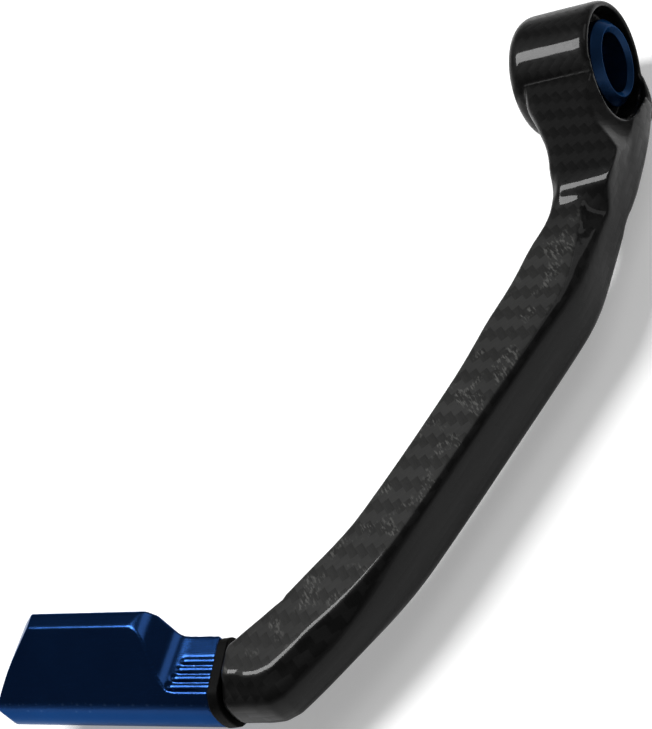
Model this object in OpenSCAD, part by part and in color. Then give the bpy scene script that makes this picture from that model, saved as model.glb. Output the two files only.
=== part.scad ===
// Brake lever guard: a moulded carbon arm that is held at the bar end by a metal
// sleeve and carries a machined aluminium tip in front of the lever.
// Millimetres. The origin is on the bore axis at the sleeve's inboard face.
// +X points inboard along the bore, +Y forward and +Z up.

/* [Boss] */
// Outside diameter of the boss round the bore
boss_d = 25; // [24:0.5:28]
// Length of the boss along the bore
boss_w = 18.5; // [16:0.5:24]
// Radius on the boss's inboard edge
boss_round = 3.5; // [1:0.5:4]
// How far the boss's outboard edge rolls in towards the bore
lip_round = 1; // [0.4:0.1:1]
// How far that roll reaches along the boss
lip_fall = 2; // [1:0.1:3]
// Diameter of the recess round the sleeve, in the outboard face
recess_d = 22.2; // [20.5:0.1:22.4]
// Depth of that recess
recess_depth = 4.5; // [3:0.5:7]
// Chamfer on the mouth of that recess
recess_chamfer = 0.4; // [0.2:0.1:0.6]

// Lean forwards of the relief in front of the recess, for each mm outboard
relief_forward = 1.3; // [1:0.1:1.6]
// Lean upwards of that relief, for each mm outboard
relief_up = 1.45; // [1.2:0.05:1.8]

/* [Sleeve] */
// Bore through the sleeve
bore_d = 12; // [10:0.1:12.4]
// Wall of the sleeve round that bore
sleeve_wall = 2.7; // [2.2:0.1:3.2]
// How far the sleeve stands out of the boss on the inboard side
stand_in = 0.5; // [0.2:0.1:2]
// How far the sleeve stands out of the boss on the outboard side
stand_out = 0.4; // [0.2:0.1:2]
// Chamfer on the sleeve's outboard edge
sleeve_chamfer = 1.6; // [0.6:0.1:1.8]
// Chamfer on the sleeve's inboard edge
edge_break = 0.4; // [0.2:0.1:0.6]
// Chamfer at the outboard end of the bore
bore_chamfer = 0.9; // [0.3:0.1:1]

/* [Arm] */
// Height of the arm along its length
arm_h = 12.6; // [11:0.2:14]
// Width of the arm in its middle stretch
arm_w = 12.2; // [11:0.2:14]
// Length of the stretch between the boss and the first bend
neck_run = 25.5; // [22:0.5:34]
// Angle of the first bend
knee_turn = 19.5; // [16:0.5:26]
// Length of the straight stretch after the first bend
upper_run = 51; // [40:1:58]
// Angle of the long sweep
sweep_turn = 15.5; // [12:0.5:20]
// Length of the long sweep
sweep_run = 29; // [24:1:36]
// Height of the blunt band along the nose of the arm
band_h = 7; // [6:0.2:8]
// Radius on the arm's inner edges, away from the boss
edge_round = 1.1; // [0.8:0.1:2]

/* [Joint] */
// Thickness of the gasket between the arm and the tip
gasket_t = 2.2; // [1.4:0.2:3]
// How far the gasket stands out of the outline of the tip's neck
gasket_proud = 0.25; // [0.1:0.05:0.4]
// Radius on the gasket's corners
gasket_round = 2.2; // [0.6:0.1:2.6]
// Radius on the arm's edges at the gasket
end_round = 1.2; // [0.6:0.1:1.6]
// Length of the tip's spigot inside the arm
spigot_len = 9; // [6:1:10]
// Width of the spigot, front to back
spigot_w = 5.6; // [4:0.2:6]
// Height of the spigot
spigot_h = 6.4; // [5:0.2:7]
// Bond gap round the spigot
bond_gap = 0.15; // [0.1:0.05:0.25]

/* [Tip] */
// Angle that the tip is swept back by, from square to the joint
tip_sweep = 7.2; // [4:0.2:10]
// Height of the tip's block
tip_h = 24; // [21:0.5:26]
// Depth of the tip's block, front to back
tip_depth = 16.4; // [14:0.1:17]
// Length of the block along its top
tip_len = 26.5; // [22:0.5:34]
// How far the slanted end reaches beyond the top
tip_reach = 10.4; // [7:0.2:12]
// Length of the neck between the gasket and the step up to the block
neck_len = 8.5; // [7:0.5:10]
// Height of the neck
neck_h = 10.4; // [9.4:0.2:11.4]
// Length of the step between the neck and the block
step_len = 5; // [4:0.5:7]
// How far the back of the neck lies in front of the back of the block
neck_back = 1.9; // [0.6:0.1:2.4]
// How far the tip's nose stands in front of the arm's
nose_proud = 0.5; // [0:0.1:0.8]
// Width of the narrow facet along the back of the block
strip_w = 3.6; // [2.6:0.1:4.4]
// Radius in plan where the nose meets the slanted end
nose_corner = 4; // [3:0.5:7]
// Number of machined scallops on the neck
scallops = 4; // [3:1:5]
// Radius of the cutter that left the scallops
scallop_r = 1.1; // [0.9:0.1:1.3]
// Length of the first scallop
scallop_len = 6; // [4:0.5:7]

/* [Hidden] */
$fn = 72;

// Stations along the neck and along the rest of the arm, and points on each
// rounded corner of the arm and of the tip
neck_stations = 40;
stations = 40;
corner_points = 4;
tip_points = 8;
// Room for cutting tools to pass a face
past = 1;

boss_r = boss_d / 2;
bore_r = bore_d / 2;
sleeve_d = bore_d + 2 * sleeve_wall;
lip_x = -stand_in - boss_w;
half_h = arm_h / 2;
band = band_h / 2;

// The nose line of the arm in plan: where it starts and the heading there, then
// runs of a length with the angle that each turns. Heading 0 is straight forward.
nose_reach = 6.7;
nose_back = 2;
nose_start = [lip_x - nose_reach, -nose_back];
lean = -8;
side_run = 13;
neck_bend = 18.85;
neck_turn = 14.4;
knee_bend = 10;
elbow_lead = 4.6;
elbow_bend = 6;
elbow_turn = 50.4;
end_run = 8.2;
path = [[side_run, 0], [neck_bend, neck_turn], [neck_run, 0], [knee_bend, knee_turn], [upper_run, 0],
        [sweep_run, sweep_turn], [elbow_lead, 0], [elbow_bend, elbow_turn], [end_run, 0]];
path_len = sum_to(len(path));
function sum_to(k) = k == 0 ? 0 : path[k - 1][0] + sum_to(k - 1);

// Distances along the nose line at which the arm's section changes
neck_s = side_run + neck_bend;
knee_s = neck_s + neck_run + knee_bend / 2;
sweep_s = neck_s + neck_run + knee_bend + upper_run;
elbow_s = sweep_s + sweep_run;

// Sections of the arm, one row each: distance along the nose line, width beyond
// arm_w, rise of the top above half the arm's height, crease on the top (in from
// the nose, below the top), and upper edge of the outer face (the same two)
sections = [
    [0, 9.5, 5.2, 7.7, 0.1, 6.6, 1],
    [5, 9.9, 4.6, 8.1, 0.1, 7, 1],
    [9, 10.3, 3.3, 8.6, 0.1, 7.5, 1],
    [12, 10.7, 2.4, 9, 0.1, 7.8, 1],
    [17, 10, 1.9, 8.8, 0.2, 7.4, 0.9],
    [23, 7, 1.75, 7.2, 0.2, 6, 0.9],
    [28, 4.4, 1.75, 5.6, 0.3, 4.4, 1.2],
    [neck_s + 1, 2.3, 1.7, 4, 0.4, 2.4, 2.1],
    [neck_s + 4, 1.4, 1.45, 4.4, 0.5, 1.6, 3],
    [neck_s + 7, 0.4, 0.7, 6, 0.4, 1.3, 3.2],
    [neck_s + 10, -0.2, 0, 6.6, 0.2, 1.2, 2.9],
    [neck_s + 16, -0.5, 0, 4.6, 0, 1.1, 2.1],
    [knee_s - 4, 1.9, 0, 3, 0, 1.1, 1.5],
    [knee_s + 8, 2.1, 0, 2, 0, 0.7, 1.3],
    [knee_s + 26, 0.6, 0, 1.8, 0, 0.6, 1.2],
    [sweep_s, 0.7, 0, 1.9, 0, 0.7, 1.2],
    [sweep_s + 14, 2.4, 0, 3, 0, 1.7, 1.2],
    [elbow_s - 5, 3.1, 0, 4.4, 0, 3.1, 1.2],
    [elbow_s + 7, 4.6, 0, 5, 0, 3.7, 1.1],
    [path_len - 7, 1.8, 0, 5.3, 0, 4, 1.1],
    [path_len - 3, 0.7, 0, 5.3, 0, 4, 1.1],
    [path_len, -0.6, 0, 5.4, 0, 4.1, 1.1]];
// How far the nose stands out from the edges of its band
crown = 0.4;

// Straight line and arc steps of the nose line
function sinc(a) = abs(a) < 0.001 ? 1 : sin(a) / (a * PI / 180);
function step(p, h, d, t) = p + d * sinc(t / 2) * [sin(h + t / 2), cos(h + t / 2)];
function place(s, k = 0, p = nose_start, h = lean) =
    let (run = path[k], part = run[1] * s / run[0])
    s <= run[0] || k == len(path) - 1
        ? [step(p, h, s, part), h + part]
        : place(s - run[0], k + 1, step(p, h, run[0], run[1]), h + run[1]);
function heading(s) = place(min(max(s, 0), path_len))[1];

// The sections turn more slowly than the nose line, so that they never cross,
// and the last one lies on the joint's plane
turn_reach = 12;
joint_turn = 5.2;
function section_angle(s) =
    let (d = min(turn_reach, path_len - s))
    (heading(s - d) + heading(s + d)) / 2 - joint_turn * (1 - d / turn_reach);
function across(s) = [cos(section_angle(s)), -sin(section_angle(s))];

// Smooth value between the rows of the table
function row_at(s, i = 0) = i >= len(sections) - 2 || s <= sections[i + 1][0] ? i : row_at(s, i + 1);
function slope(i, c) =
    let (a = sections[max(i - 1, 0)], b = sections[min(i + 1, len(sections) - 1)])
    (b[c] - a[c]) / (b[0] - a[0]);
function value(s, c) =
    let (i = row_at(s), a = sections[i], b = sections[i + 1],
         l = b[0] - a[0], t = (s - a[0]) / l, u = t * t, w = u * t)
    (2 * w - 3 * u + 1) * a[c] + (w - 2 * u + t) * l * slope(i, c)
    + (3 * u - 2 * w) * b[c] + (w - u) * l * slope(i + 1, c);

// Rounds each corner of an outline with a short curve of n points
function rounded(pts, radii, n = corner_points) = [
    for (i = [0:len(pts) - 1])
        let (p = pts[i], a = pts[(i + len(pts) - 1) % len(pts)] - p, b = pts[(i + 1) % len(pts)] - p,
             r = min(radii[i], 0.45 * norm(a), 0.45 * norm(b)),
             from = p + a * r / norm(a), to = p + b * r / norm(b))
        for (k = [0:n - 1])
            let (t = k / (n - 1))
            (1 - t) * (1 - t) * from + 2 * t * (1 - t) * p + t * t * to];

// Width of the arm, and radius on its inner edges, which grows towards the boss
function width(s) = arm_w + value(s, 1);
function inner_round(s) = edge_round + (boss_round - edge_round) * max(0, 1 - s / neck_s);

// Outline of the arm's section at a distance along the nose line, shrunk by inset
function section(s, inset = 0) =
    let (w = width(s) - inset, h = half_h + value(s, 2) - inset, r = inner_round(s),
         top = [value(s, 3) + inset, h - value(s, 4)],
         edge = [value(s, 5) + inset, h - value(s, 6)],
         side = [crown + inset, min(band, edge[1] - 0.3)],
         nose = [inset, 0])
    rounded([[w, -h], [w, h], top, edge, side, nose,
             [side[0], -side[1]], [edge[0], -edge[1]], [top[0], -top[1]]],
            [r, r, 0.8, 0.8, 1.6, 3, 1.6, 0.8, 0.8]);

// Puts an outline on the section plane at a distance along the nose line
function stand_up(outline, s) =
    let (p = place(s)[0], d = across(s))
    [for (q = outline) [p[0] + q[0] * d[0], p[1] + q[0] * d[1], q[1]]];

// Closed solid through a list of rings with the same number of points
module loft(rings) {
    n = len(rings[0]);
    m = len(rings);
    polyhedron(
        points = [for (r = rings) each r],
        faces = [
            [for (j = [n - 1:-1:0]) j],
            [for (j = [0:n - 1]) (m - 1) * n + j],
            for (i = [0:m - 2], j = [0:n - 1])
                let (k = (j + 1) % n)
                each [[i * n + j, (i + 1) * n + k, (i + 1) * n + j],
                      [i * n + j, i * n + k, (i + 1) * n + k]]]);
}

// Cylinder along X between two places
module along_x(x0, x1, d) {
    translate([x0, 0, 0]) rotate([0, 90, 0]) cylinder(d = d, h = x1 - x0);
}

// Points on an arc about a centre
function arc(c, r, a0, a1, n = 8) = [
    for (k = [0:n])
        let (a = a0 + (a1 - a0) * k / n)
        c + r * [cos(a), sin(a)]];

// Stations along the arm, closer together along the neck
neck_end = neck_s + 14;
arm_stations = concat(
    [for (i = [0:neck_stations - 1]) i * neck_end / neck_stations],
    [for (i = [0:stations - 1]) neck_end + i * (path_len - end_round - neck_end) / stations]);

module boss_body() {
    inboard = -stand_in;
    rotate([0, 90, 0]) rotate_extrude()
        polygon(concat(
            [[0, inboard], [0, lip_x]],
            [for (a = [0:15:90]) [boss_r - lip_round * (1 - sin(a)), lip_x + lip_fall * (1 - cos(a))]],
            arc([boss_r - boss_round, inboard - boss_round], boss_round, 0, 90)));
}

// Cutter for the recess, which also clears the arm's nose in front of it
module recess() {
    r = recess_d / 2;
    mouth = r + recess_chamfer;
    front = nose_start[0] - boss_r;
    rotate([0, 90, 0]) rotate_extrude()
        polygon([[0, front], [mouth, front], [mouth, lip_x], [r, lip_x + recess_chamfer],
                 [r, lip_x + recess_depth], [0, lip_x + recess_depth]]);
}

// Oblique relief that opens the recess upwards and forwards, through the arm's nose
module relief() {
    multmatrix([[1, 0, 0, lip_x], [-relief_forward, 1, 0, 0], [-relief_up, 0, 1, 0]])
        rotate([0, -90, 0]) cylinder(r = recess_d / 2 + recess_chamfer, h = boss_r);
}

module guard_arm() {
    color([0.05, 0.05, 0.055])
    difference() {
        union() {
            boss_body();
            loft(concat(
                [for (s = arm_stations) stand_up(section(s), s)],
                [for (a = [0:22.5:90])
                    let (s = path_len - end_round * (1 - sin(a)))
                    stand_up(section(s, end_round * (1 - cos(a))), s)]));
        }
        // Bore for the sleeve and the recess round it
        along_x(lip_x - past, past, sleeve_d);
        recess();
        relief();
        // Socket for the tip's spigot
        in_joint_frame()
            translate([-gasket_t - spigot_len - bond_gap, spigot_back - bond_gap, -spigot_h / 2 - bond_gap])
            cube([spigot_len + bond_gap + past, spigot_w + 2 * bond_gap, spigot_h + 2 * bond_gap]);
    }
}

module boss_sleeve() {
    outer = sleeve_d / 2;
    x1 = lip_x - stand_out;
    color([0.03, 0.07, 0.22])
    rotate([0, 90, 0]) rotate_extrude()
        polygon([[bore_r, x1 + bore_chamfer], [bore_r + bore_chamfer, x1], [outer - sleeve_chamfer, x1],
                 [outer, x1 + sleeve_chamfer], [outer, -edge_break], [outer - edge_break, 0],
                 [bore_r, 0]]);
}

// Frame at the joint: X out of the arm's end, Y forward from the nose line, Z up.
// Its origin is on the tip's side of the gasket.
end_angle = section_angle(path_len);
end_place = place(path_len)[0];
spigot_back = -width(path_len) / 2 - spigot_w / 2;
module in_joint_frame() {
    translate([end_place[0], end_place[1], 0])
        rotate([0, 0, 90 - end_angle])
        translate([gasket_t, 0, 0])
        children();
}

// Frame of the tip: X along it. It turns about the back edge of the joint.
module in_tip_frame() {
    in_joint_frame()
        translate([0, neck_v, 0])
        rotate([0, 0, -tip_sweep])
        translate([0, -neck_v, 0])
        children();
}

module joint_gasket() {
    color([0.02, 0.02, 0.02])
    difference() {
        in_joint_frame()
            translate([-gasket_t, 0, 0])
            rotate([90, 0, 90])
            linear_extrude(gasket_t)
            offset(r = gasket_proud + gasket_round) offset(delta = -gasket_round) neck_section();
        in_joint_frame()
            translate([-gasket_t - past, spigot_back - bond_gap, -spigot_h / 2 - bond_gap])
            cube([gasket_t + 2 * past, spigot_w + 2 * bond_gap, spigot_h + 2 * bond_gap]);
    }
}

// Place of the neck's back, the fall of the narrow facet, the length over which the
// back steps out to the block, and the scallops
neck_v = nose_proud - tip_depth + neck_back;
strip_drop = 0.5;
back_run = 3.4;
scallop_in = 5;
scallop_pitch = 1.7;
scallop_depth = 0.35;
scallop_slant = 0.4;
// Length by which the neck is drawn past the joint before it is cut there
joint_room = 3;

// Section of the tip's block, with the arm's nose line at Y = 0
module tip_section() {
    h = tip_h / 2;
    side = [-crown - 0.2, band];
    pts = [[-tip_depth, h - strip_drop], [-tip_depth + strip_w, h], side, [0, 0],
           [side[0], -side[1]], [-tip_depth + strip_w, -h], [-tip_depth, -h + strip_drop]];
    translate([nose_proud, 0]) polygon(rounded(pts, [0.8, 0.3, 2.4, 3.5, 2.4, 0.3, 0.8], tip_points));
}

// Section of the tip's neck
module neck_section() {
    intersection() {
        tip_section();
        translate([neck_v, -neck_h / 2]) square([tip_depth, neck_h]);
    }
}

// Places along the tip where its block starts, where its top ends and its far end
block_x = neck_len + step_len;
top_x = block_x + tip_len;
tip_end = top_x + tip_reach;

// Outline of the tip seen from the front, from its neck to its slanted end
module tip_front() {
    h = tip_h / 2;
    n = neck_h / 2;
    half = [[-joint_room, n], [neck_len, n], [block_x, h], [top_x, h],
            [top_x + 0.54 * tip_reach, 0.62 * h], [top_x + 0.84 * tip_reach, band + 0.3], [tip_end, 0]];
    last = len(half) - 1;
    full = concat(half, [for (i = [last - 1:-1:0]) [half[i][0], -half[i][1]]]);
    radii = [0.2, 2.6, 2.9, 0.8, 3.5, 3, 3.5];
    polygon(rounded(full, concat(radii, [for (i = [last - 1:-1:0]) radii[i]]), tip_points));
}

// Outline of the tip seen from above: its back steps out from the neck to the
// block, and its nose is rounded off at the far end
module tip_plan() {
    back = nose_proud - tip_depth;
    run = back_run / neck_back;
    polygon(rounded([[-joint_room, neck_v], [neck_len, neck_v], [neck_len + back_run + run * past, back - past],
                     [tip_end, back - past], [tip_end, nose_proud], [-joint_room, nose_proud]],
                    [0.1, 0.8, 0.1, 0.1, nose_corner, 0.1], tip_points));
}

// One scallop left by a ball cutter: a groove along the neck with a round end
module scallop(y, z, length) {
    translate([-joint_room - past, y, z])
        rotate([0, 90, 0]) cylinder(r = scallop_r, h = joint_room + past + length, $fn = 32);
    translate([length, y, z]) sphere(r = scallop_r, $fn = 32);
}

module tip_block() {
    front = 2 * tip_depth;
    difference() {
        intersection() {
            translate([-joint_room, 0, 0]) rotate([90, 0, 90])
                linear_extrude(joint_room + tip_end) tip_section();
            rotate([90, 0, 0]) linear_extrude(2 * front, center = true) tip_front();
            linear_extrude(2 * tip_h, center = true) tip_plan();
        }
        // Scallops on the top and the underside of the neck
        for (side = [-1, 1], i = [0:scallops - 1])
            scallop(neck_v + scallop_in + i * scallop_pitch,
                    side * (neck_h / 2 + scallop_r - scallop_depth),
                    scallop_len + i * scallop_slant);
    }
}

module end_tip() {
    color([0.03, 0.09, 0.32])
    union() {
        difference() {
            in_tip_frame() tip_block();
            // The neck ends on the joint's plane
            in_joint_frame() translate([-tip_depth, -2 * tip_depth, -tip_h / 2])
                cube([tip_depth, 3 * tip_depth, tip_h]);
        }
        in_joint_frame() translate([-gasket_t - spigot_len, spigot_back, -spigot_h / 2])
            cube([gasket_t + spigot_len + past, spigot_w, spigot_h]);
    }
}

guard_arm();
boss_sleeve();
joint_gasket();
end_tip();
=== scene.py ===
"""Brake lever guard, dressed for the photograph's view.

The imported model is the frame. The carbon arm, the tip and the gasket are softened
copies of their own solids, and the sleeve is turned afresh from its solid's sizes.
Lengths are in metres, apart from the rules that shape the arm, which work in mm.
"""
import math

import bmesh
import bpy
import numpy as np
from mathutils import Matrix, Vector
from mathutils.bvhtree import BVHTree

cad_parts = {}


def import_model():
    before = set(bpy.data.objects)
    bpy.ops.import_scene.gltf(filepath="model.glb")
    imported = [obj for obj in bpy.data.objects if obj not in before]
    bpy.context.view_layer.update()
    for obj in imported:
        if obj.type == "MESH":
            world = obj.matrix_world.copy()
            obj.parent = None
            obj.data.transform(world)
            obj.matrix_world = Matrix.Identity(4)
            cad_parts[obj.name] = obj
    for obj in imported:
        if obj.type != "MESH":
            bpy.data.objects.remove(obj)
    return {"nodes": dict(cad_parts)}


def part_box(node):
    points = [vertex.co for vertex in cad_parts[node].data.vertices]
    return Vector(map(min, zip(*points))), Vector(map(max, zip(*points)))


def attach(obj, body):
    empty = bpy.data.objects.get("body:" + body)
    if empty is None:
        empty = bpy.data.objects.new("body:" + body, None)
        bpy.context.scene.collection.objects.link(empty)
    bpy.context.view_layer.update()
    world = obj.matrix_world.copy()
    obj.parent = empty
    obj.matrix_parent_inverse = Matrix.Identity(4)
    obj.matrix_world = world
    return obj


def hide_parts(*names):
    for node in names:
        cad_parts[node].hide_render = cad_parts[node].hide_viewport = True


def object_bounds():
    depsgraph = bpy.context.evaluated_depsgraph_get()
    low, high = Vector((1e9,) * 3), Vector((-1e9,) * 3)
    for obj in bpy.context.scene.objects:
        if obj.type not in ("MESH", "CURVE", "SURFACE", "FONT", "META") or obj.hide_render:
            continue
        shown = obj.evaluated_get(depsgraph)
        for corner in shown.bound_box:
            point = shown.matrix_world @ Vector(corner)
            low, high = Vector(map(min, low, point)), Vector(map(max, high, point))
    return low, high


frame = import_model()
cad_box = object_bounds()

MM = 0.001

# Camera: the eye, a point it looks at, and its up direction
EYE = Vector((-0.195826, 0.293441, 0.273158))
TARGET = Vector((0.04039, 0.05635, -0.00940))
UP = Vector((-0.13735, -0.81233, 0.5668))
# Its focal length and frame width in pixels of the photograph, and its sensor in mm
FOCAL_PIXELS = 2200
FRAME_WIDTH = 652
SENSOR = 36

# Soft boxes: the way to each from the lit point, its face's up, size, distance and brightness
LIT_POINT = Vector((0.01, 0.05, 0.0))
KEY_BOX = {"way": (0.43, -0.07, 0.90), "up": (0, 1, 0),
           "size": (0.52, 0.31), "far": 1.0, "glow": 22.0}
FILL_BOX = {"way": (-0.42, -0.40, 0.80), "up": (0, 1, 0),
            "size": (0.6, 0.6), "far": 1.2, "glow": 1.6}

# Studio: its glow above, its wall's glow low down, and the heights between which they blend
STUDIO_GLOW = 0.13
WALL_GLOW = 0.6
WALL_LOW = 0.02
WALL_HIGH = 0.40

# Floor: its tone, its own glow where a camera or a mirror sees it, half its side, and its gap
FLOOR_TONE = 0.86
FLOOR_LIFT = 0.3
FLOOR_HALF = 4.0
FLOOR_GAP = 0.0002

# Carbon: width of a tow, plan angle of the cloth, and fibre marks per metre
TOW = 1.6 * MM
CLOTH_ANGLE = math.radians(-38)
FIBRE_ALONG = 900
FIBRE_ACROSS = 9000
# A face is laid out in plan where its normal's vertical part is over this
FLAT_FROM = 0.62
# Where the long face's painted light, a paler tone on its upward face, fades in along Y
LIT_FACE_FROM = 38 * MM
LIT_FACE_TO = 52 * MM
# Where the boss's side meets the neck's top: there is no clear coat in that crease
CREASE_Y = 9.5 * MM
CREASE_HALF = 0.5 * MM

# Cutter marks: their pitch on the turned sleeve and on the milled tip
TURNED_PITCH = 0.16 * MM
MILLED_PITCH = 0.42 * MM

# Sleeve: its wall, the chamfers of its bore, rim and back, and the radius of its edges
SLEEVE_WALL = 2.7 * MM
BORE_CHAMFER = 0.9 * MM
RIM_CHAMFER = 1.6 * MM
BACK_CHAMFER = 0.4 * MM
EDGE_RADIUS = 0.14 * MM
SLEEVE_SEGMENTS = 160


def aim(obj, place, back, up):
    """Puts an object at a place with its Z axis along back and Y near up."""
    z = Vector(back).normalized()
    x = Vector(up).cross(z).normalized()
    y = z.cross(x)
    axes = Matrix((x, y, z)).transposed().to_4x4()
    obj.matrix_world = Matrix.Translation(place) @ axes


def add_object(name, data):
    obj = bpy.data.objects.new(name, data)
    bpy.context.scene.collection.objects.link(obj)
    return obj


# Node graphs

class Graph:
    """Short calls that add nodes to a material and return their outputs."""

    def __init__(self, name):
        self.material = bpy.data.materials.new(name)
        self.material.use_nodes = True
        self.tree = self.material.node_tree
        self.tree.nodes.clear()
        self.out = self.tree.nodes.new("ShaderNodeOutputMaterial")

    def node(self, kind, inputs=(), **settings):
        made = self.tree.nodes.new("ShaderNode" + kind)
        for key, value in settings.items():
            setattr(made, key, value)
        for key, value in dict(inputs).items():
            self.put(made.inputs[key], value)
        return made

    def put(self, socket, value):
        if isinstance(value, bpy.types.NodeSocket):
            self.tree.links.new(value, socket)
        else:
            socket.default_value = value

    def math(self, operation, a, b=0.0, c=0.0):
        return self.node("Math", {0: a, 1: b, 2: c}, operation=operation).outputs[0]

    def mix(self, factor, a, b):
        made = self.node("Mix", data_type="FLOAT")
        for key, value in ((0, factor), (2, a), (3, b)):
            self.put(made.inputs[key], value)
        return made.outputs[0]

    def blend(self, factor, a, b, kind="MIX"):
        made = self.node("Mix", data_type="RGBA", blend_type=kind)
        for key, value in ((0, factor), (6, a), (7, b)):
            self.put(made.inputs[key], value)
        return made.outputs[2]

    def noise(self, vector, scale, detail):
        inputs = {"Vector": vector, "Scale": scale, "Detail": detail, "Roughness": 0.55}
        return self.node("TexNoise", inputs).outputs["Fac"]

    def ramp(self, factor, low, high, low_value=0.0, high_value=1.0):
        inputs = {"Value": factor, "From Min": low, "From Max": high,
                  "To Min": low_value, "To Max": high_value}
        return self.node("MapRange", inputs).outputs[0]

    def stretched(self, vector, scale, turn=0.0):
        inputs = {"Vector": vector, "Scale": scale, "Rotation": (0, 0, turn)}
        return self.node("Mapping", inputs).outputs[0]

    def bump(self, height, distance, strength):
        inputs = {"Height": height, "Distance": distance, "Strength": strength}
        return self.node("Bump", inputs).outputs[0]

    def finish(self, shader):
        self.tree.links.new(shader.outputs[0], self.out.inputs["Surface"])
        return self.material


def rgb(r, g, b):
    return (r, g, b, 1.0)


def carbon():
    """Twill cloth under a clear coat."""
    g = Graph("carbon_twill")
    place = g.node("TexCoord").outputs["Object"]
    along = g.node("SeparateXYZ", {0: place}).outputs[1]
    turned = g.stretched(place, (1, 1, 1), CLOTH_ANGLE)
    axes = g.node("SeparateXYZ", {0: turned}).outputs
    normal = g.node("NewGeometry").outputs["True Normal"]
    up = g.math("ABSOLUTE", g.node("SeparateXYZ", {0: normal}).outputs[2])

    # Twill, two tows over and two under, laid out in plan on flat faces and by height on steep ones
    flat = g.math("GREATER_THAN", up, FLAT_FROM)
    u = g.math("DIVIDE", axes[1], TOW)
    v = g.math("DIVIDE", g.mix(flat, axes[2], axes[0]), TOW)
    cell = g.math("ADD", g.math("FLOOR", u), g.math("FLOOR", v))
    over = g.math("LESS_THAN", g.math("FLOORED_MODULO", cell, 4.0), 1.5)

    def across(t):
        # Height over one tow, from 0 at its edges to 1 at its middle
        side = g.math("MULTIPLY_ADD", g.math("FRACT", t), 2.0, -1.0)
        return g.math("SUBTRACT", 1.0, g.math("MULTIPLY", side, side))

    height = g.mix(over, across(v), across(u))
    fibre_u = g.noise(g.stretched(turned, (FIBRE_ALONG, FIBRE_ACROSS, FIBRE_ACROSS)), 1.0, 2.0)
    fibre_v = g.noise(g.stretched(turned, (FIBRE_ACROSS, FIBRE_ALONG, FIBRE_ALONG)), 1.0, 2.0)
    fibre = g.mix(over, fibre_v, fibre_u)

    # Tone: by which tow lies over, by the fibre, and by wide soft patches
    patch = g.noise(place, 60.0, 2.0)
    tone = g.math("MULTIPLY_ADD", over, 0.45, g.math("MULTIPLY", fibre, 0.7))
    tone = g.math("MULTIPLY", tone, g.ramp(patch, 0.3, 0.7, 0.75, 1.2))

    # Painted light: the long face is painted paler where it faces up, as if lit, with painted glints in
    # patches
    face = g.math("MULTIPLY", g.ramp(up, 0.90, 0.97), g.ramp(along, LIT_FACE_FROM, LIT_FACE_TO))
    # Painted highlight: glints painted in spots and streaks on the long face
    highlight_spots = g.ramp(g.noise(place, 190.0, 1.0), 0.54, 0.62)
    highlight_streaks = g.ramp(g.noise(g.stretched(turned, (2600, 700, 2600)), 1.0, 2.0), 0.50, 0.66)
    glint = g.math("MULTIPLY", g.math("MULTIPLY", highlight_spots, highlight_streaks), face)
    plain = g.blend(tone, rgb(0.001, 0.001, 0.001), rgb(0.006, 0.006, 0.006))
    # pale is a lit copy of the twill's tone: painted light on the long face
    pale = g.blend(tone, rgb(0.010, 0.010, 0.0097), rgb(0.030, 0.030, 0.0295))
    # The glints' pale grey colour is a painted highlight
    colour = g.blend(glint, g.blend(face, plain, pale), rgb(0.075, 0.075, 0.072))

    # The cloth's relief, and the clear coat's slow flow over it, with no coat in the crease
    rough = g.math("MULTIPLY_ADD", fibre, 0.16, g.mix(over, 0.34, 0.46))
    rise = g.math("MULTIPLY_ADD", fibre, 0.25, height)
    flow = g.noise(place, 170.0, 2.0)
    fine = g.noise(place, 1400.0, 3.0)
    coat = g.math("MULTIPLY_ADD", fine, 0.06, flow)
    seam = g.math("ABSOLUTE", g.math("ADD", along, -CREASE_Y))
    coated = g.ramp(seam, CREASE_HALF, 2 * CREASE_HALF)
    shader = g.node("BsdfPrincipled", {
        "Base Color": colour, "Roughness": rough, "IOR": 1.5, "Specular IOR Level": 0.06,
        "Normal": g.bump(rise, 0.00006, 0.5),
        "Coat Weight": g.mix(coated, 0.0, 0.32), "Coat Roughness": 0.05, "Coat IOR": 1.4,
        "Coat Normal": g.bump(coat, 0.00008, 0.35)})
    return g.finish(shader)


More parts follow.
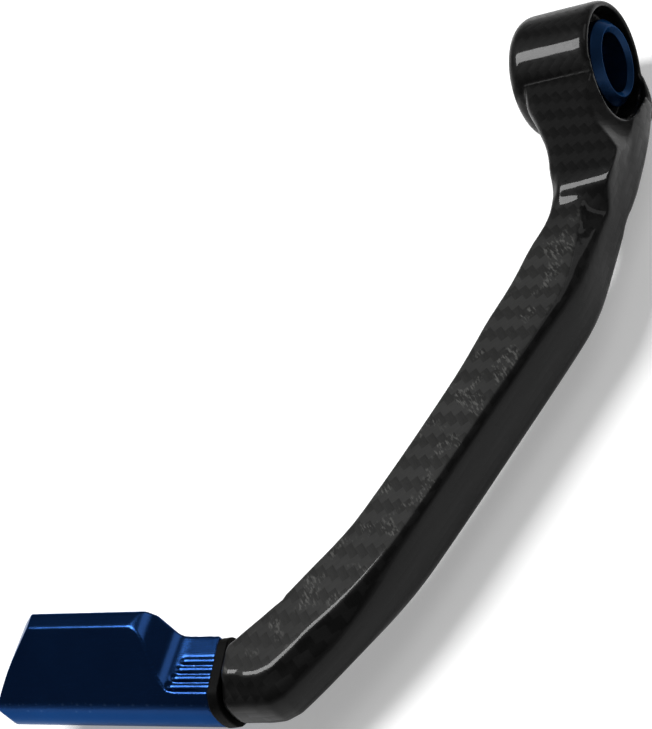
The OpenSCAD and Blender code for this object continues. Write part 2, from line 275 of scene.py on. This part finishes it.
def anodised(name, deep, bright, turned):
    """Dyed aluminium with the marks of a cutter, straight or turned."""
    g = Graph(name)
    place = g.node("TexCoord").outputs["Object"]
    axes = g.node("SeparateXYZ", {0: place}).outputs
    if turned:
        smoothest = 0.36
        radius = g.math("SQRT", g.math("ADD", g.math("MULTIPLY", axes[1], axes[1]),
                                       g.math("MULTIPLY", axes[2], axes[2])))
        path = g.math("MULTIPLY", g.math("ADD", radius, axes[0]), 2 * math.pi / TURNED_PITCH)
        marks = g.math("SINE", path)
        streak = g.noise(g.stretched(place, (5000, 300, 300)), 1.0, 3.0)
    else:
        smoothest = 0.15
        streak = g.noise(g.stretched(place, (260, 5200, 5200), math.radians(5)), 1.0, 3.0)
        path = g.math("MULTIPLY", axes[1], 2 * math.pi / MILLED_PITCH)
        marks = g.math("SINE", g.math("MULTIPLY_ADD", streak, 2.2, path))
    grain = g.noise(place, 4200.0, 2.0)
    cloud = g.noise(place, 55.0, 3.0)
    # Painted highlight: sharp convex edges are painted a lighter blue
    edge = g.ramp(g.node("NewGeometry").outputs["Pointiness"], 0.57, 0.66)
    colour = g.blend(g.ramp(cloud, 0.3, 0.7), deep, bright)
    edge_highlighted = g.blend(g.math("MULTIPLY", edge, 0.25), colour, rgb(0.10, 0.20, 0.42))
    rough = g.math("MULTIPLY_ADD", streak, 0.10, g.math("MULTIPLY_ADD", grain, 0.08, smoothest))
    height = g.math("MULTIPLY_ADD", marks, 0.30, g.math("MULTIPLY_ADD", grain, 0.5, streak))
    shader = g.node("BsdfPrincipled", {
        "Base Color": edge_highlighted, "Metallic": 1.0, "Roughness": rough, "Specular Tint": rgb(0.42, 0.50, 0.66),
        "Normal": g.bump(height, 0.000012, 0.35),
        "Coat Weight": 0.06, "Coat Roughness": 0.15, "Coat IOR": 1.5})
    return g.finish(shader)


def rubber():
    """Black gasket rubber with a fine moulded grain."""
    g = Graph("gasket_rubber")
    place = g.node("TexCoord").outputs["Object"]
    grain = g.noise(place, 3600.0, 4.0)
    dust = g.noise(place, 420.0, 3.0)
    colour = g.blend(g.ramp(dust, 0.35, 0.75), rgb(0.0008, 0.0008, 0.0008), rgb(0.0025, 0.0025, 0.0025))
    shader = g.node("BsdfPrincipled", {
        "Base Color": colour, "Roughness": g.math("MULTIPLY_ADD", grain, 0.2, 0.5),
        "Specular IOR Level": 0.05,
        "Normal": g.bump(grain, 0.00004, 0.4)})
    return g.finish(shader)


# Pieces

def finished(name, mesh, material, node):
    """Adds a piece that stands for a CAD node and rides on the one body."""
    obj = add_object(name, mesh)
    obj.data.materials.clear()
    obj.data.materials.append(material)
    obj.data.shade_smooth()
    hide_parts(node)
    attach(obj, "root")


def modified(mesh, kind, **settings):
    """Returns a new mesh with one modifier applied, and frees the old one."""
    work = add_object("work", mesh)
    modifier = work.modifiers.new("step", kind)
    for key, value in settings.items():
        setattr(modifier, key, value)
    graph = bpy.context.evaluated_depsgraph_get()
    result = bpy.data.meshes.new_from_object(work.evaluated_get(graph))
    bpy.data.objects.remove(work)
    bpy.data.meshes.remove(mesh)
    return result


def move_points(mesh, rule):
    """Moves a mesh's points by a rule that works in millimetres."""
    points = np.empty(len(mesh.vertices) * 3, dtype=np.float32)
    mesh.vertices.foreach_get("co", points)
    moved = rule(mesh, points.reshape(-1, 3) / MM) * MM
    mesh.vertices.foreach_set("co", moved.astype(np.float32).ravel())
    mesh.update()


def softened(name, node, material, voxel, passes, add=None, shape=None, crease=None):
    """Copy of a CAD node, remeshed finely and smoothed so its edges are soft.

    add puts closed forms into the copy first, shape moves its points before the
    smoothing, and crease moves them after it.
    """
    mesh = frame["nodes"][node].data.copy()
    if add:
        add(mesh)
    mesh = modified(mesh, "REMESH", mode="VOXEL", voxel_size=voxel)
    if shape:
        move_points(mesh, shape)
    mesh = modified(mesh, "SMOOTH", factor=0.5, iterations=passes)
    if crease:
        move_points(mesh, crease)
    mesh.name = name
    finished(name, mesh, material, node)


# Carbon arm, with its sizes in mm

# The boss's radius, and the heights of the neck's top and of the arm's top
BOSS_R = 12.5
NECK_TOP = 8.15
ARM_TOP = 6.3

# Beads that carry the boss's rim on into the arm's nose: places along each, and radius there
BEADS = [
    [((-17.8, -6.3, -10.1), 0.7), ((-18.8, -4.2, -10.8), 0.9), ((-19.7, -1.8, -11.0), 1.0),
     ((-20.7, 0.8, -11.0), 1.0), ((-21.5, 3.4, -10.5), 1.1), ((-23.2, 8.4, -7.8), 1.4),
     ((-24.2, 12.5, -5.5), 1.4)],
    [((-19.0, -2.5, -11.0), 0.8), ((-19.4, 0.5, -11.2), 1.0), ((-20.4, 4.0, -10.3), 1.2),
     ((-22.0, 8.0, -8.4), 1.4), ((-23.5, 11.5, -6.0), 1.5)]]
BEAD_SIDES = 12

# The neck's brow and the tight bend below it: their radii, where they start, and their turn
BROW_R = 10.0
BEND_R = 3.0
BROW_START = 35.0
BROW_TURN = math.radians(31)
# The brow runs slanted over the neck: further along Y by this much for each mm inboard
SLANT = 0.145
SLANT_X = -19

# The stretch along Y that the neck's rule works on, and where its brow begins
NECK_FROM = 14
NECK_TO = 49
BROW_FROM = 30
# A point this far under the brow still moves all the way to it, and at the second it stays
BROW_NEAR = (0.5, 0.9)
# Where the rule fades out along the slant, and where it fades in from the inboard side
NECK_END = (45, 49)
HEEL_IN = (0.3, 2.6)

# Shoulder, by place along Y: how far in from the nose it reaches the top's height
SHOULDER_Y = (15, 17, 23, 26.3, 30.5, 34, 38, 41)
SHOULDER_IN = (9.2, 8.9, 6.0, 3.9, 1.5, 0.9, 0.9, 2.0)
# Its height at its outer edge, which lies this far in from the nose
SHOULDER_Z = (3.5, 3.5, 3.5, 3.8, 5.4, 6.8, 6.6, 5.0)
CROWN = 0.4
# Where it fades in and out along Y
SHOULDER_START = (14, 18)
SHOULDER_END = (38, 43)

# How far the upper shoulder shifts outboard, and the furthest that it may reach
SHIFT = 2.4
SHIFT_X = -28.1
# Where the shift fades in along Y and by height, and where it fades out inboard of the nose
SHIFT_Y = (20, 36)
SHIFT_Z = (2, 5)
SHIFT_IN = (1, 9)

# The crease at the boss: its stretch along Y, and how far it stands over the neck's top
CREASE_FROM = 2
CREASE_TO = 18
CREASE_RISE = 0.03

# The recess opens towards the viewer: an oblique round opening in front of its rim
LIP_X = -19.0
OPENING_R = 11.5
OPENING_WAY = (-0.4025, 0.6565, 0.6378)


def rim_beads(mesh):
    """Adds the beads as closed tubes, which the remesh then joins to the arm."""
    bm = bmesh.new()
    bm.from_mesh(mesh)
    turns = [2 * math.pi / BEAD_SIDES * j for j in range(BEAD_SIDES)]
    for stations in BEADS:
        last = len(stations) - 1
        rings = []
        for k, (centre, radius) in enumerate(stations):
            way = Vector(stations[min(k + 1, last)][0]) - Vector(stations[max(k - 1, 0)][0])
            a = way.cross(Vector((0, 0, 1))).normalized() * radius
            b = way.normalized().cross(a)
            ring = [Vector(centre) + a * math.cos(turn) + b * math.sin(turn) for turn in turns]
            rings.append([bm.verts.new(point * MM) for point in ring])
        made = [bm.faces.new(rings[0]), bm.faces.new(rings[-1][::-1])]
        for low, high in zip(rings, rings[1:]):
            for j in range(BEAD_SIDES):
                k = (j + 1) % BEAD_SIDES
                made.append(bm.faces.new((low[j], high[j], high[k], low[k])))
        bmesh.ops.recalc_face_normals(bm, faces=made)
    bm.to_mesh(mesh)
    bm.free()


def smoothstep(x, low, high):
    t = np.clip((x - low) / (high - low), 0, 1)
    return t * t * (3 - 2 * t)


def hump(t):
    """Height of the neck's top at t along the slant: level, round the brow, and into the bend."""
    brow_end = BROW_START + BROW_R * math.sin(BROW_TURN)
    bend_end = brow_end + BEND_R * math.sin(BROW_TURN)
    over = np.clip(t - BROW_START, 0, BROW_R * math.sin(BROW_TURN))
    brow = NECK_TOP - BROW_R + np.sqrt(BROW_R ** 2 - over ** 2)
    under = np.clip(bend_end - t, 0, BEND_R * math.sin(BROW_TURN))
    foot = NECK_TOP - (BROW_R + BEND_R) * (1 - math.cos(BROW_TURN))
    bend = foot + BEND_R - np.sqrt(BEND_R ** 2 - under ** 2)
    rise = (ARM_TOP - foot) * smoothstep(t, BROW_START, bend_end)
    return np.where(t < brow_end, brow, bend) + rise


def opened(points):
    """Moves what stands inside the oblique opening out to its round wall."""
    x, y, z = points.T
    out = np.clip((x - LIP_X) / OPENING_WAY[0], 0, None)
    base_y = y - out * OPENING_WAY[1]
    base_z = z - out * OPENING_WAY[2]
    radius = np.hypot(base_y, base_z)
    inside = (out > 0) & (radius < OPENING_R) & (radius > 1)
    grow = np.where(inside, OPENING_R / np.maximum(radius, 1), 1) - 1
    return np.stack((x, y + base_y * grow, z + base_z * grow), axis=1)


def neck_shape(mesh, points):
    """Gives the neck a brow, and carries its upper face out to the shoulder."""
    tree = BVHTree.FromPolygons([v.co for v in mesh.vertices], [p.vertices for p in mesh.polygons])
    out = points.copy()
    above = 20 * MM
    # Where the nose and the inboard side are, by rows near the mid plane
    rows = np.arange(NECK_FROM - 4, NECK_TO + 3, 0.5)
    waist = points[np.abs(points[:, 2]) < 1]
    cuts = [waist[np.abs(waist[:, 1] - row) < 0.5][:, 0] for row in rows]
    nose = np.array([cut.min() for cut in cuts])
    heel = np.array([cut.max() for cut in cuts])
    down = Vector((0, 0, -1))
    for i in np.nonzero((points[:, 1] > NECK_FROM) & (points[:, 1] < NECK_TO))[0]:
        x, y, z = points[i]
        hit = tree.ray_cast(Vector((x * MM, y * MM, above)), down)[0]
        inward = x - np.interp(y, rows, nose)
        if hit is None or inward < CROWN:
            continue
        now = hit.z / MM
        t = y - SLANT * (x - SLANT_X)
        level = float(hump(t))
        # The shoulder slopes up from its outer edge to the neck's top
        reach = np.interp(y, SHOULDER_Y, SHOULDER_IN)
        low = np.interp(y, SHOULDER_Y, SHOULDER_Z)
        slope = low + (level - low) * min(1, (inward - CROWN) / (reach - CROWN))
        share = smoothstep(y, *SHOULDER_START) * (1 - smoothstep(y, *SHOULDER_END))
        # The brow alone moves what is nearly at its height
        brow = now + (level - now) * (1 - smoothstep(level - now, *BROW_NEAR))
        in_brow = y > BROW_FROM
        upper = share * slope + (1 - share) * (brow if in_brow else now)
        fade = 1 - smoothstep(t, *NECK_END)
        fade *= smoothstep(np.interp(y, rows, heel) - x, *HEEL_IN)
        if now > 1 and (z > 0 or in_brow):
            out[i, 2] = z * (1 + ((upper if z > 0 else brow) / now - 1) * fade)
        if z > 1:
            shift = share * smoothstep(y, *SHIFT_Y) * smoothstep(now, *SHIFT_Z)
            shift *= 1 - smoothstep(inward, *SHIFT_IN)
            out[i, 0] = max(x - SHIFT * shift, SHIFT_X)
    return opened(out)


def boss_crease(mesh, points):
    """Trims what stands over the boss or the neck's top where the two meet."""
    x, y, z = points.T
    boss = np.sqrt(np.clip(BOSS_R ** 2 - y ** 2, 0, None))
    limit = np.maximum(boss, NECK_TOP + CREASE_RISE)
    over = (y > CREASE_FROM) & (y < CREASE_TO) & (np.abs(z) > limit)
    return np.stack((x, y, np.where(over, np.sign(z) * limit, z)), axis=1)


# Sleeve

def rounded_profile(corners, radius, steps=5):
    """Closed profile with each corner rounded by a circular arc."""
    points = []
    count = len(corners)
    for i, corner in enumerate(corners):
        here = Vector(corner)
        before = (Vector(corners[i - 1]) - here).normalized()
        after = (Vector(corners[(i + 1) % count]) - here).normalized()
        half = before.angle(after) / 2
        reach = radius / math.tan(half)
        centre = here + (before + after).normalized() * (radius / math.sin(half))
        start = here + before * reach - centre
        end = here + after * reach - centre
        for k in range(steps + 1):
            mixed = start.lerp(end, k / steps).normalized() * radius
            points.append(centre + mixed)
    return points


def turned_ring(name, profile, segments):
    """Revolves a closed profile of (x, radius) points about the bore axis."""
    bm = bmesh.new()
    rings = []
    for j in range(segments):
        angle = 2 * math.pi * j / segments
        c, s = math.cos(angle), math.sin(angle)
        rings.append([bm.verts.new((p[0], p[1] * c, p[1] * s)) for p in profile])
    count = len(profile)
    for j in range(segments):
        a, b = rings[j], rings[(j + 1) % segments]
        for i in range(count):
            k = (i + 1) % count
            bm.faces.new((a[i], a[k], b[k], b[i]))
    bmesh.ops.recalc_face_normals(bm, faces=bm.faces)
    mesh = bpy.data.meshes.new(name)
    bm.to_mesh(mesh)
    bm.free()
    return mesh


def sleeve(material):
    """The metal sleeve, with broken edges and a bore that opens at its outboard end."""
    low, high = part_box("boss_sleeve")
    outer = high.z
    bore = outer - SLEEVE_WALL
    corners = [
        (low.x + BORE_CHAMFER, bore), (low.x, bore + BORE_CHAMFER), (low.x, outer - RIM_CHAMFER),
        (low.x + RIM_CHAMFER, outer), (high.x - BACK_CHAMFER, outer), (high.x, outer - BACK_CHAMFER),
        (high.x, bore)]
    profile = rounded_profile(corners, EDGE_RADIUS)
    mesh = turned_ring("boss_sleeve_turned", profile, SLEEVE_SEGMENTS)
    finished("boss_sleeve_turned", mesh, material, "boss_sleeve")


softened("guard_arm_moulded", "guard_arm", carbon(), voxel=0.38 * MM, passes=11,
         add=rim_beads, shape=neck_shape, crease=boss_crease)
tip_metal = anodised("tip_anodised", rgb(0.007, 0.029, 0.105), rgb(0.010, 0.040, 0.140), turned=False)
softened("end_tip_machined", "end_tip", tip_metal, voxel=0.22 * MM, passes=8)
sleeve_metal = anodised("sleeve_anodised", rgb(0.007, 0.023, 0.062), rgb(0.010, 0.030, 0.080),
                        turned=True)
sleeve(sleeve_metal)
softened("joint_gasket_moulded", "joint_gasket", rubber(), voxel=0.14 * MM, passes=6)


# Floor, lights and camera

def floor():
    """Pale floor that looks white to the camera and in reflections, with the part's shadow."""
    g = Graph("floor_paper")
    path = g.node("LightPath").outputs
    seen = g.math("MAXIMUM", path["Is Camera Ray"],
                  g.math("MAXIMUM", path["Is Glossy Ray"], path["Is Transmission Ray"]))
    place = g.node("TexCoord").outputs["Object"]
    fleck = g.ramp(g.noise(place, 900.0, 2.0), 0.3, 0.7, 0.985, 1.0)
    paper = g.blend(1.0, rgb(FLOOR_TONE, FLOOR_TONE, FLOOR_TONE),
                    g.node("CombineColor", {0: fleck, 1: fleck, 2: fleck}).outputs[0], "MULTIPLY")
    plain = g.node("BsdfDiffuse", {"Color": paper})
    lift = g.node("Emission", {"Color": rgb(1, 1, 1), "Strength": g.math("MULTIPLY", seen, FLOOR_LIFT)})
    total = g.node("AddShader", {0: plain.outputs[0], 1: lift.outputs[0]})
    material = g.finish(total)
    mesh = bpy.data.meshes.new("floor")
    level = cad_box[0][2] - FLOOR_GAP
    corners = [(FLOOR_HALF * x, FLOOR_HALF * y, level) for x, y in ((-1, -1), (1, -1), (1, 1), (-1, 1))]
    mesh.from_pydata(corners, [], [(0, 1, 2, 3)])
    mesh.materials.append(material)
    obj = add_object("floor", mesh)


def world():
    """A dim studio whose wall is pale low down, where it meets the floor."""
    made = bpy.data.worlds.new("studio")
    bpy.context.scene.world = made
    made.use_nodes = True
    tree = made.node_tree
    back = tree.nodes["Background"]
    back.inputs["Color"].default_value = rgb(1, 1, 1)
    place = tree.nodes.new("ShaderNodeTexCoord")
    split = tree.nodes.new("ShaderNodeSeparateXYZ")
    level = tree.nodes.new("ShaderNodeMapRange")
    level.interpolation_type = "SMOOTHSTEP"
    for key, value in (("From Min", WALL_LOW), ("From Max", WALL_HIGH),
                       ("To Min", WALL_GLOW), ("To Max", STUDIO_GLOW)):
        level.inputs[key].default_value = value
    tree.links.new(place.outputs["Generated"], split.inputs[0])
    tree.links.new(split.outputs[2], level.inputs["Value"])
    tree.links.new(level.outputs[0], back.inputs["Strength"])


def soft_box(name, way, up, size, far, glow):
    """Area light of a given face brightness, aimed at the part."""
    data = bpy.data.lights.new(name, "AREA")
    data.shape = "RECTANGLE"
    data.size, data.size_y = size
    data.energy = glow * math.pi * size[0] * size[1]
    obj = add_object(name, data)
    direction = Vector(way).normalized()
    aim(obj, LIT_POINT + direction * far, direction, up)


def camera():
    data = bpy.data.cameras.new("camera")
    data.sensor_fit = "HORIZONTAL"
    data.sensor_width = SENSOR
    data.lens = SENSOR * FOCAL_PIXELS / FRAME_WIDTH
    data.clip_start = 0.01
    data.clip_end = 20
    obj = add_object("camera", data)
    aim(obj, EYE, EYE - TARGET, UP)
    bpy.context.scene.camera = obj


floor()
world()
soft_box("key_box", **KEY_BOX)
soft_box("fill_box", **FILL_BOX)
camera()
bpy.context.scene.view_settings.view_transform = "Standard"
